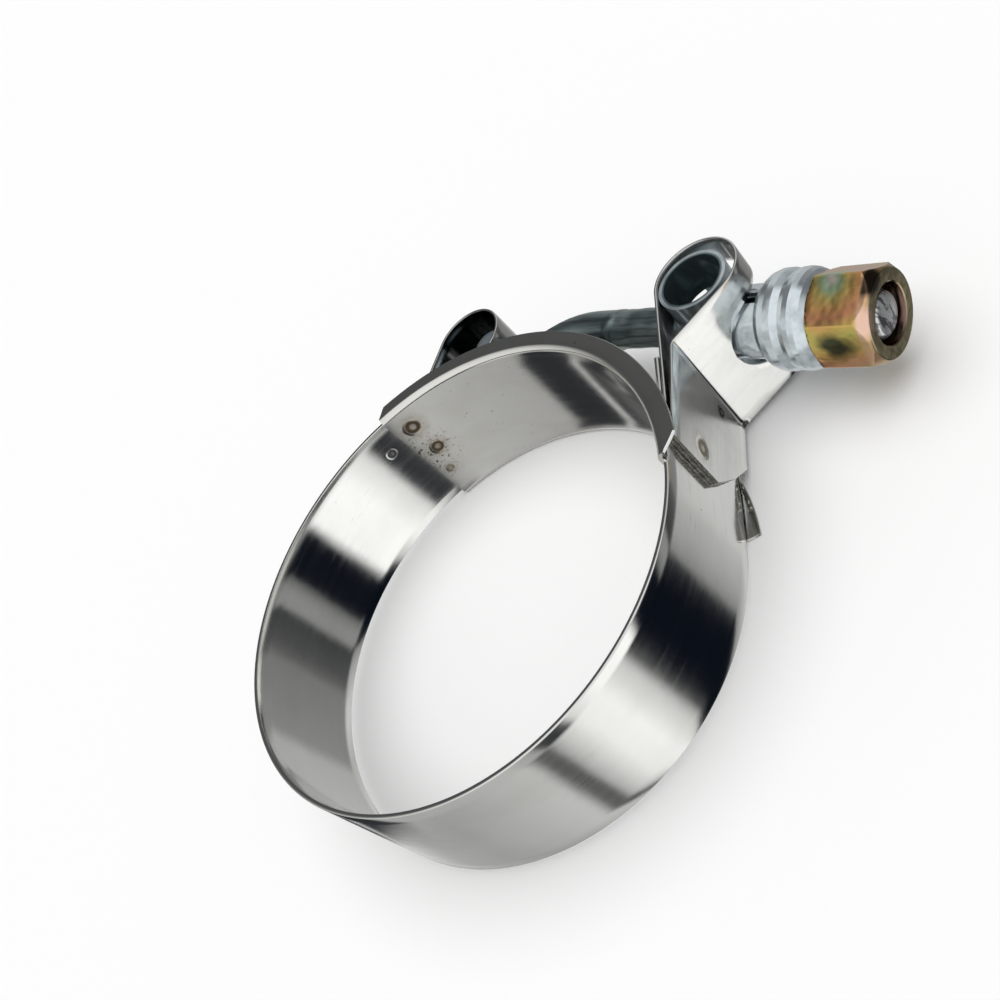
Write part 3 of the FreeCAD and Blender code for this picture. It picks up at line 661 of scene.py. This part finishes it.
class Paint:
    """Builds one procedural material in object space, in millimetres."""

    def __init__(self, name, base, rough, metallic=1.0):
        self.material = bpy.data.materials.new(name)
        self.material.use_nodes = True
        self.tree = self.material.node_tree
        self.shader = self.tree.nodes["Principled BSDF"]
        self.shader.inputs["Metallic"].default_value = metallic
        self.shader.inputs["Roughness"].default_value = rough
        self.colour = base
        self.rough = rough
        self.height = None
        coordinates = self.tree.nodes.new("ShaderNodeTexCoord")
        self.place = self.vector("SCALE", coordinates.outputs["Object"])
        self.place.node.inputs["Scale"].default_value = 1 / MM

    def vector(self, operation, first, second=None, result="Vector"):
        node = self.tree.nodes.new("ShaderNodeVectorMath")
        node.operation = operation
        self.tree.links.new(first, node.inputs[0])
        if second is not None:
            node.inputs[1].default_value = second
        return node.outputs[result]

    def axis(self, name):
        split = self.tree.nodes.new("ShaderNodeSeparateXYZ")
        self.tree.links.new(self.place, split.inputs[0])
        return split.outputs[name]

    def away_from(self, point):
        return self.vector("DISTANCE", self.place, point, "Value")

    def from_line(self, axis, point):
        # Distance from a line along one axis through a point
        flat = tuple(0.0 if name == axis else 1.0 for name in "XYZ")
        return self.vector("DISTANCE", self.vector("MULTIPLY", self.place, flat), point, "Value")

    def noise(self, scale, detail=3.0, roughness=0.6, stretch=(1, 1, 1), seed=0.0):
        noise = self.tree.nodes.new("ShaderNodeTexNoise")
        noise.noise_dimensions = "4D"
        noise.inputs["W"].default_value = seed
        noise.inputs["Scale"].default_value = scale
        noise.inputs["Detail"].default_value = detail
        noise.inputs["Roughness"].default_value = roughness
        place = self.vector("MULTIPLY", self.place, stretch)
        self.tree.links.new(place, noise.inputs["Vector"])
        return noise.outputs["Fac"]

    def soft_noise(self, scale, seed, detail=2.0, stretch=(1, 1, 1)):
        return self.noise(scale, detail, 0.5, stretch, seed)

    def math(self, operation, *values):
        return maths(self.tree, operation, *values)

    def ramp(self, value, *stops):
        return colour_ramp(self.tree, value, [(place, (level,) * 3) for place, level in stops])

    def tint(self, mask, colour):
        self.colour = mixed(self.tree, mask, self.colour, colour)

    def roughen(self, mask, amount):
        self.rough = self.math("MULTIPLY_ADD", mask, amount, self.rough)

    def raise_by(self, mask, amount):
        extra = self.math("MULTIPLY", mask, amount)
        self.height = extra if self.height is None else self.math("ADD", self.height, extra)

    def brush_round_ring(self, amount, rotation):
        self.shader.inputs["Anisotropic"].default_value = amount
        self.shader.inputs["Anisotropic Rotation"].default_value = rotation
        tangent = self.tree.nodes.new("ShaderNodeTangent")
        tangent.direction_type = "RADIAL"
        tangent.axis = "Z"
        self.tree.links.new(tangent.outputs["Tangent"], self.shader.inputs["Tangent"])

    def finish(self):
        links = self.tree.links
        feed(self.tree, self.colour, self.shader.inputs["Base Color"])
        if not isinstance(self.rough, float):
            links.new(self.rough, self.shader.inputs["Roughness"])
        if self.height is not None:
            bump = self.tree.nodes.new("ShaderNodeBump")
            bump.inputs["Strength"].default_value = 1.0
            bump.inputs["Distance"].default_value = MM
            links.new(self.height, bump.inputs["Height"])
            links.new(bump.outputs["Normal"], self.shader.inputs["Normal"])
        return self.material

    def cover(self, *objects):
        material = self.finish()
        for obj in objects:
            obj.data.materials.clear()
            obj.data.materials.append(material)


# What the sheets share

BROWN_SCALE, BROWN_HALO = (0.12, 0.085, 0.055), (0.46, 0.39, 0.29)
SHEET_SCRATCH = (0.5, 0.5, 0.49)
PALE_HALO = (0.6, 0.58, 0.55)


def rolled_lines(paint, across):
    # Fine rolling lines along the strip and a slow waviness
    lines = paint.noise(1.0, detail=4.0, roughness=0.7, stretch=(0.1, 0.1, across))
    waves = paint.soft_noise(0.16, seed=3.0, stretch=(1, 1, 0.6))
    streaks = paint.noise(0.8, stretch=(0.06, 0.06, 3.0), seed=7.0)
    paint.raise_by(lines, 0.003)
    paint.raise_by(waves, 0.03)
    paint.roughen(paint.ramp(streaks, (0.35, 0.0), (0.7, 1.0)), 0.06)


def scratches(paint, seed):
    thin = paint.soft_noise(0.5, seed, stretch=(0.25, 0.25, 14.0))
    patchy = paint.soft_noise(0.3, seed + 4)
    thin = paint.ramp(thin, (0.7, 0.0), (0.73, 1.0))
    patchy = paint.ramp(patchy, (0.5, 0.0), (0.62, 1.0))
    mask = paint.math("MULTIPLY", thin, patchy)
    paint.tint(mask, SHEET_SCRATCH)
    paint.roughen(mask, 0.15)


def specks(paint, seed, colour, scale, threshold, amount):
    dots = paint.soft_noise(scale, seed)
    paint.tint(paint.ramp(dots, (threshold, 0.0), (threshold + 0.04, amount)), colour)


def blotches(paint, seed, scale, colour):
    mottle_and_reflection = paint.noise(scale, stretch=(1, 1, 1.5), seed=seed)
    paint.tint(paint.ramp(mottle_and_reflection, (0.42, 0.0), (0.72, 0.5)), colour)


def weld_ring(paint, spot, size, seed, dark=BROWN_SCALE, halo=BROWN_HALO):
    # A spot weld: a dented ring of scale round a light centre
    wobble = paint.soft_noise(0.6, seed)
    shape = paint.math("MULTIPLY_ADD", wobble, 0.55 * size, paint.away_from(spot))
    far = paint.math("DIVIDE", shape, size * 4.2)
    near = paint.math("DIVIDE", shape, size * 1.9)
    stain = paint.ramp(paint.noise(1.4, seed=seed + 2), (0.35, 0.2), (0.65, 1.0))
    glow = paint.math("MULTIPLY", paint.ramp(far, (0.3, 0.9), (0.75, 0.0)), stain)
    ring = paint.ramp(near, (0.2, 0.25), (0.36, 0.35), (0.5, 1.0), (0.68, 1.0), (0.86, 0.0))
    dent = paint.ramp(near, (0.2, 0.3), (0.45, 0.0), (0.66, 0.1), (1.0, 1.0))
    paint.tint(glow, halo)
    paint.tint(ring, dark)
    paint.roughen(ring, 0.3)
    paint.raise_by(dent, 0.06 * size)


# Materials, one for each slot and for the sheared faces


def paint_band():
    paint = Paint("band_steel", base=(0.8, 0.8, 0.785), rough=0.085)
    grey, pale_grey = (0.08, 0.08, 0.08), (0.5, 0.5, 0.5)
    paint.brush_round_ring(0.5, 0.25)
    rolled_lines(paint, across=9.0)
    scratches(paint, seed=11.0)
    blotches(paint, seed=2.0, scale=0.09, colour=(0.68, 0.68, 0.655))
    specks(paint, 17.0, (0.3, 0.29, 0.27), scale=1.1, threshold=0.74, amount=0.7)
    weld_ring(paint, (-27.47, 17.55, 4.66), size=0.6, seed=6.0, dark=grey, halo=pale_grey)
    paint.cover(band)


def paint_bridge():
    paint = Paint("bridge_steel", base=(0.76, 0.755, 0.73), rough=0.1)
    rolled_lines(paint, across=7.0)
    blotches(paint, seed=9.0, scale=0.12, colour=(0.66, 0.65, 0.6))
    specks(paint, 5.0, (0.34, 0.31, 0.26), scale=1.5, threshold=0.71, amount=0.7)
    weld_ring(paint, (-23.68, 21.6, 6.09), size=1.02, seed=1.0)
    weld_ring(paint, (-23.52, 21.78, 0.49), size=0.88, seed=4.0)
    weld_ring(paint, (-24.4, 20.8, -4.2), size=0.5, seed=8.0, dark=(0.34, 0.29, 0.23))
    # Crumbs of scale round the welded end
    away = paint.math("MULTIPLY", paint.away_from((-25.2, 19.8, 0.0)), 0.1)
    near_end = paint.ramp(away, (0.2, 1.0), (0.65, 0.0))
    dirt = paint.ramp(paint.noise(1.9, roughness=0.65, seed=12.0), (0.56, 0.0), (0.61, 1.0))
    crumbs = paint.math("MULTIPLY", dirt, near_end)
    paint.tint(crumbs, (0.13, 0.11, 0.085))
    paint.roughen(crumbs, 0.25)
    paint.cover(bridge)


def paint_straps():
    paint = Paint("strap_steel", base=(0.79, 0.79, 0.775), rough=0.13)
    tan, sand = (0.38, 0.33, 0.24), (0.55, 0.52, 0.45)
    soot, grime = (0.06, 0.06, 0.06), (0.1, 0.1, 0.09)
    rolled_lines(paint, across=8.0)
    scratches(paint, seed=31.0)
    blotches(paint, seed=33.0, scale=0.2, colour=(0.66, 0.66, 0.64))
    specks(paint, 37.0, (0.28, 0.26, 0.24), scale=1.3, threshold=0.73, amount=0.8)
    weld_ring(paint, (27.33, 22.23, 2.58), size=1.0, seed=5.0, dark=tan, halo=sand)
    weld_ring(paint, (23.13, 30.83, -3.0), size=0.62, seed=3.0, dark=soot, halo=PALE_HALO)
    weld_ring(paint, (22.0, 33.0, -9.2), size=0.6, seed=7.0, dark=grime, halo=PALE_HALO)
    # Painted shade: the inside of the T-head's loop is darkened
    loop_axis = (head_loop.real, head_loop.imag, 0.0)
    loop_shade = paint.math("SUBTRACT", paint.from_line("Z", loop_axis), 4.5)
    paint.tint(paint.ramp(loop_shade, (0.6, 0.94), (0.66, 0.0)), (0.05, 0.055, 0.065))
    paint.cover(nut_side, head_side)


def paint_strap_cuts():
    # Sheared faces across the strips' ends and the cropped corner
    paint = Paint("cut_steel", base=(0.34, 0.33, 0.3), rough=0.34)
    shear = paint.noise(2.2, detail=4.0, roughness=0.7, stretch=(2.4, 2.4, 2.4), seed=3.0)
    paint.tint(paint.ramp(shear, (0.44, 0.0), (0.54, 0.9)), (0.06, 0.06, 0.05))
    paint.raise_by(shear, 0.06)
    paint.roughen(shear, 0.2)
    material = paint.finish()
    for piece in (nut_side, head_side):
        piece.data.materials.append(material)
        for face in piece.data.polygons:
            normal = face.normal
            across_leg = abs(normal.x * leg_up.real + normal.y * leg_up.imag)
            if len(face.vertices) > 4 or (across_leg > 0.5 and abs(normal.z) > 0.4):
                face.material_index = 1


def paint_bridge_cut():
    # The flange's slanting cut at the nut's end, freshly sheared and pale
    paint = Paint("cut_pale", base=(0.95, 0.95, 0.95), rough=0.5, metallic=0.0)
    mesh = bridge.data
    mesh.materials.append(paint.finish())
    for face in mesh.polygons:
        corners = [mesh.vertices[i].co for i in face.vertices]
        centre = sum(corners, Vector()) / len(corners) / MM
        spot = complex(centre.x, centre.y)
        at_end = BRIDGE_START < angle_of(spot) < BRIDGE_START + 4.4
        on_flange = abs(spot) > BEND_R + 0.05 and centre.z > FLANGE_Z - BRIDGE_SHEET - 0.01
        if at_end and on_flange and abs(face.normal.z) < 0.6:
            face.material_index = 1


def paint_bolt():
    paint = Paint("bolt_zinc", base=(0.2, 0.245, 0.25), rough=0.24, metallic=0.9)
    forged = paint.noise(0.9, stretch=(0.1, 1.3, 1.3))
    grain = paint.noise(3.0, seed=2.0)
    paint.tint(paint.ramp(forged, (0.4, 0.0), (0.6, 0.85)), (0.09, 0.115, 0.12))
    paint.raise_by(forged, 0.07)
    paint.roughen(grain, 0.14)
    paint.raise_by(grain, 0.01)
    # The thread's end is bright, with worn streaks
    past = paint.math("SUBTRACT", paint.axis("X"), 42.0)
    end = paint.ramp(past, (0.3, 0.0), (0.6, 1.0))
    worn = paint.noise(0.9, stretch=(0.2, 1.6, 0.5), seed=23.0)
    worn = paint.ramp(worn, (0.5, 0.0), (0.56, 0.85))
    paint.tint(end, (0.8, 0.81, 0.82))
    paint.tint(paint.math("MULTIPLY", end, worn), (0.1, 0.1, 0.12))
    # So is the end of the T-head's bar
    past = paint.math("SUBTRACT", paint.axis("Z"), 6.0)
    paint.tint(paint.ramp(past, (0.3, 0.0), (0.7, 0.9)), (0.62, 0.72, 0.78))
    paint.cover(bolt)


def paint_trunnion():
    paint = Paint("trunnion_zinc", base=(0.7, 0.77, 0.81), rough=0.13, metallic=0.85)
    mottle_and_reflection = paint.ramp(paint.noise(0.45), (0.42, 0.0), (0.68, 0.6))
    paint.tint(mottle_and_reflection, (0.36, 0.43, 0.48))
    paint.raise_by(paint.soft_noise(0.2, seed=4.0, detail=1.0), 0.3)
    paint.roughen(paint.noise(1.6, seed=6.0), 0.08)
    # Painted shade: the barrel's bore is darkened
    bore_shade = paint.math("SUBTRACT", paint.from_line("Z", (BARREL_X, BOLT_Y, 0.0)), 3.6)
    paint.tint(paint.ramp(bore_shade, (0.6, 0.9), (0.68, 0.0)), (0.13, 0.19, 0.21))
    material = paint.finish()
    for slot in trunnion.material_slots:
        slot.material = material


# The chromate film's tints, from mauve through green to gold and orange
FILM_TINTS = (
    (0.02, (0.5, 0.43, 0.41)),
    (0.09, (0.5, 0.46, 0.4)),
    (0.13, (0.3, 0.42, 0.27)),
    (0.18, (0.52, 0.42, 0.14)),
    (0.26, (0.66, 0.36, 0.14)),
    (0.35, (0.66, 0.3, 0.16)),
    (0.45, (0.6, 0.42, 0.13)),
    (0.53, (0.5, 0.44, 0.13)),
    (0.62, (0.62, 0.4, 0.13)),
    (0.7, (0.64, 0.33, 0.2)),
    (0.77, (0.5, 0.46, 0.2)),
    (0.86, (0.62, 0.4, 0.14)),
)


def paint_nut():
    paint = Paint("nut_chromate", base=(0.6, 0.36, 0.13), rough=0.15)
    slow = paint.soft_noise(0.14, seed=1.0)
    ripple = paint.soft_noise(0.45, seed=5.0)
    # The film's thickness runs in wavy arcs round a point at the nut's top
    film = paint.math("MULTIPLY_ADD", slow, 5.0, paint.away_from((38.2, 43.3, 6.3)))
    film = paint.math("MULTIPLY_ADD", ripple, 1.6, film)
    film = paint.math("MULTIPLY_ADD", film, 0.06, -0.14)
    paint.colour = colour_ramp(paint.tree, film, FILM_TINTS)
    # Painted reflection: a dark cloud on the lower flat
    mottle_and_reflection = paint.math("MULTIPLY_ADD", ripple, 2.4, paint.away_from((38.6, 36.9, 1.4)))
    mottle_and_reflection = paint.ramp(paint.math("MULTIPLY", mottle_and_reflection, 0.25), (0.58, 1.0), (0.95, 0.0))
    paint.tint(paint.math("MULTIPLY", mottle_and_reflection, 0.95), (0.05, 0.058, 0.035))
    # The cone is paler than the flats, and the ring at its end duller
    front = paint.math("MULTIPLY_ADD", paint.axis("X"), 0.25, -10.2)
    on_cone = paint.ramp(front, (0.28, 0.0), (0.36, 1.0))
    paint.tint(paint.ramp(front, (0.22, 0.0), (0.36, 0.7)), (0.7, 0.46, 0.3))
    paint.tint(paint.ramp(front, (0.57, 0.0), (0.6, 0.85)), (0.36, 0.33, 0.2))
    # One corner of the cone is darkened nearly to black and one is paler
    black_corner = paint.math("MULTIPLY", paint.away_from((42.4, 43.0, 6.0)), 0.25)
    black_corner = paint.ramp(black_corner, (0.42, 0.94), (0.62, 0.0))
    paint.tint(paint.math("MULTIPLY", black_corner, on_cone), (0.03, 0.026, 0.018))
    pale = paint.math("MULTIPLY", paint.away_from((42.5, 38.1, 4.0)), 0.25)
    pale = paint.ramp(pale, (0.3, 0.8), (0.6, 0.0))
    paint.tint(paint.math("MULTIPLY", pale, on_cone), (0.9, 0.6, 0.5))
    # Painted shade: the bore and its recess are darkened
    bore_shade = paint.math("MULTIPLY", paint.from_line("X", (0.0, BOLT_Y, 0.0)), 0.2)
    paint.tint(paint.ramp(bore_shade, (0.738, 0.85), (0.75, 0.0)), (0.16, 0.1, 0.1))
    tool_lines = paint.noise(1.0, stretch=(0.3, 1.6, 1.6), seed=9.0)
    paint.raise_by(tool_lines, 0.014)
    paint.raise_by(paint.soft_noise(0.3, seed=19.0), 0.14)
    paint.roughen(tool_lines, 0.08)
    paint.cover(nut)


paint_band()
paint_bridge()
paint_straps()
paint_strap_cuts()
paint_bridge_cut()
paint_bolt()
paint_trunnion()
paint_nut()

# Floor, in metres

FLOOR_HALF, FLOOR_Z = 3.0, -10.45 * MM


def build_floor():
    mesh = bpy.data.meshes.new("floor")
    corners = [(-1, -1), (1, -1), (1, 1), (-1, 1)]
    mesh.from_pydata([(x * FLOOR_HALF, y * FLOOR_HALF, 0) for x, y in corners], [], [(0, 1, 2, 3)])
    floor = bpy.data.objects.new("floor", mesh)
    floor.location = (0, 0, FLOOR_Z)
    SHOWN.objects.link(floor)
    floor.visible_glossy = False
    pale = bpy.data.materials.new("pale_floor")
    pale.use_nodes = True
    inputs = pale.node_tree.nodes["Principled BSDF"].inputs
    inputs["Base Color"].default_value = (0.95, 0.95, 0.95, 1)
    inputs["Roughness"].default_value = 0.9
    inputs["Specular IOR Level"].default_value = 0.0
    mesh.materials.append(pale)


build_floor()

# World: the studio that the metal reflects, as screens by heading in degrees and level.
# Steeply down there are a bright screen, a black one beside it and grey walls.
STEEP_SCREENS = (
    (-180, 0.66), (-165, 0.66), (-145, 0.44), (-120, 0.4), (-95, 0.5), (-68, 0.64), (-62.5, 0.12),
    (-56, 0.11), (-52.5, 0.5), (-46, 0.75), (-36, 1.05), (-22, 1.12), (-13, 0.86), (-7, 0.72),
    (-3.5, 0.5), (-0.5, 0.1), (5, 0.015), (10, 0.004), (38, 0.004), (44, 0.015), (47.5, 0.04),
    (49.5, 0.28), (56, 0.37), (62, 0.44), (70, 0.5), (76, 0.54), (82, 0.64), (95, 0.66),
    (120, 0.5), (150, 0.6), (180, 0.66),
)
# Less steeply there are narrow dark bars between the screens
LEVEL_SCREENS = (
    (-180, 0.11), (-169, 0.03), (-165.5, 0.6), (-163, 0.6), (-161.5, 0.03), (-133, 0.03),
    (-129, 0.44), (-97, 0.5), (-68, 0.57), (-55, 0.42), (-52, 0.05), (-45, 0.035), (-40, 0.06),
    (-36, 0.85), (-20, 1.22), (3, 1.2), (8, 0.1), (10, 0.004), (30, 0.006), (33, 0.2), (38, 0.29),
    (44.5, 0.31), (47.5, 0.05), (62, 0.09), (67, 0.13), (71.5, 0.22), (110, 0.28), (118, 0.46),
    (157, 0.5), (160, 0.12), (180, 0.11),
)
# Above there are soft windows with dark gaps
HIGH_SCREENS = (
    (-180, 0.09), (-174, 0.1), (-160, 0.4), (-135, 0.8), (-100, 0.95), (-60, 1.0), (-20, 0.9),
    (5, 0.6), (25, 0.15), (60, 0.1), (95, 0.2), (110, 0.5), (133, 0.6), (142, 0.09), (165, 0.08),
    (180, 0.09),
)
ZENITH = (0.95, 0.95, 0.95)
# Heights of a direction between which one ring of screens gives way to the next
STEEP_TO_LEVEL, LEVEL_TO_HIGH, HIGH_TO_ZENITH = (-0.69, -0.67), (-0.42, -0.2), (0.82, 0.93)
AMBIENT = 0.5


def screen_colour(level):
    # Bright parts are a little warm and dark parts a little blue
    cool = max(0.0, 0.2 - level) * 0.035
    return (level, level + cool * 0.3, level * 0.985 + cool)


def build_world():
    world = bpy.data.worlds.new("studio")
    bpy.context.scene.world = world
    world.use_nodes = True
    tree = world.node_tree
    tree.nodes.clear()
    coordinates = tree.nodes.new("ShaderNodeTexCoord")
    split = tree.nodes.new("ShaderNodeSeparateXYZ")
    tree.links.new(coordinates.outputs["Generated"], split.inputs[0])
    heading = maths(tree, "ARCTAN2", split.outputs["Y"], split.outputs["X"])
    heading = maths(tree, "MULTIPLY_ADD", heading, 1 / (2 * math.pi), 0.5)

    def screens(stops):
        places = [(degrees / 360 + 0.5, screen_colour(level)) for degrees, level in stops]
        return colour_ramp(tree, heading, places)

    def share(low, high):
        # How far a direction's height has gone from low to high
        part = tree.nodes.new("ShaderNodeMapRange")
        part.inputs["From Min"].default_value = low
        part.inputs["From Max"].default_value = high
        tree.links.new(split.outputs["Z"], part.inputs["Value"])
        return part.outputs["Result"]

    steep, level, high = map(screens, (STEEP_SCREENS, LEVEL_SCREENS, HIGH_SCREENS))
    tone = mixed(tree, share(*STEEP_TO_LEVEL), steep, level)
    tone = mixed(tree, share(*LEVEL_TO_HIGH), tone, high)
    tone = mixed(tree, share(*HIGH_TO_ZENITH), tone, ZENITH)
    studio = tree.nodes.new("ShaderNodeBackground")
    tree.links.new(tone, studio.inputs["Color"])
    plain = tree.nodes.new("ShaderNodeBackground")
    plain.inputs["Color"].default_value = (1, 1, 1, 1)
    plain.inputs["Strength"].default_value = AMBIENT
    # Only glossy rays see the screens
    path_kind = tree.nodes.new("ShaderNodeLightPath")
    choose = tree.nodes.new("ShaderNodeMixShader")
    tree.links.new(path_kind.outputs["Is Glossy Ray"], choose.inputs["Fac"])
    tree.links.new(plain.outputs[0], choose.inputs[1])
    tree.links.new(studio.outputs[0], choose.inputs[2])
    world_out = tree.nodes.new("ShaderNodeOutputWorld")
    tree.links.new(choose.outputs[0], world_out.inputs["Surface"])


build_world()

# Lamp

SUN_ENERGY, SUN_SPREAD, LAMP_HEIGHT = 1.7, 70, 0.6


def build_lamp():
    light = bpy.data.lights.new("overhead", "SUN")
    light.energy = SUN_ENERGY
    light.angle = math.radians(SUN_SPREAD)
    lamp = bpy.data.objects.new("overhead", light)
    SHOWN.objects.link(lamp)
    lamp.location = (0, 0, LAMP_HEIGHT)
    lamp.visible_glossy = False


build_lamp()

# Camera, with its focal length in pixels of a frame 1000 wide

SENSOR, FRAME_WIDTH, FOCAL_PIXELS = 36.0, 1000.0, 1094.8
CAMERA_RIGHT = Vector((0.685703, 0.407053, -0.603422))
CAMERA_UP = Vector((-0.067505, 0.861003, 0.504101))
CAMERA_BACK = Vector((0.724744, -0.304929, 0.617871))
CAMERA_PLACE = Vector((105.1163, -32.6274, 94.2262)) * MM


def build_camera():
    lens = bpy.data.cameras.new("camera")
    lens.sensor_width = SENSOR
    lens.lens = FOCAL_PIXELS * SENSOR / FRAME_WIDTH
    lens.clip_start, lens.clip_end = 0.005, 20.0
    camera = bpy.data.objects.new("camera", lens)
    SHOWN.objects.link(camera)
    pose = Matrix((CAMERA_RIGHT, CAMERA_UP, CAMERA_BACK)).transposed().to_4x4()
    pose.translation = CAMERA_PLACE
    camera.matrix_world = pose
    bpy.context.scene.camera = camera


build_camera()
bpy.context.scene.view_settings.view_transform = "Standard"
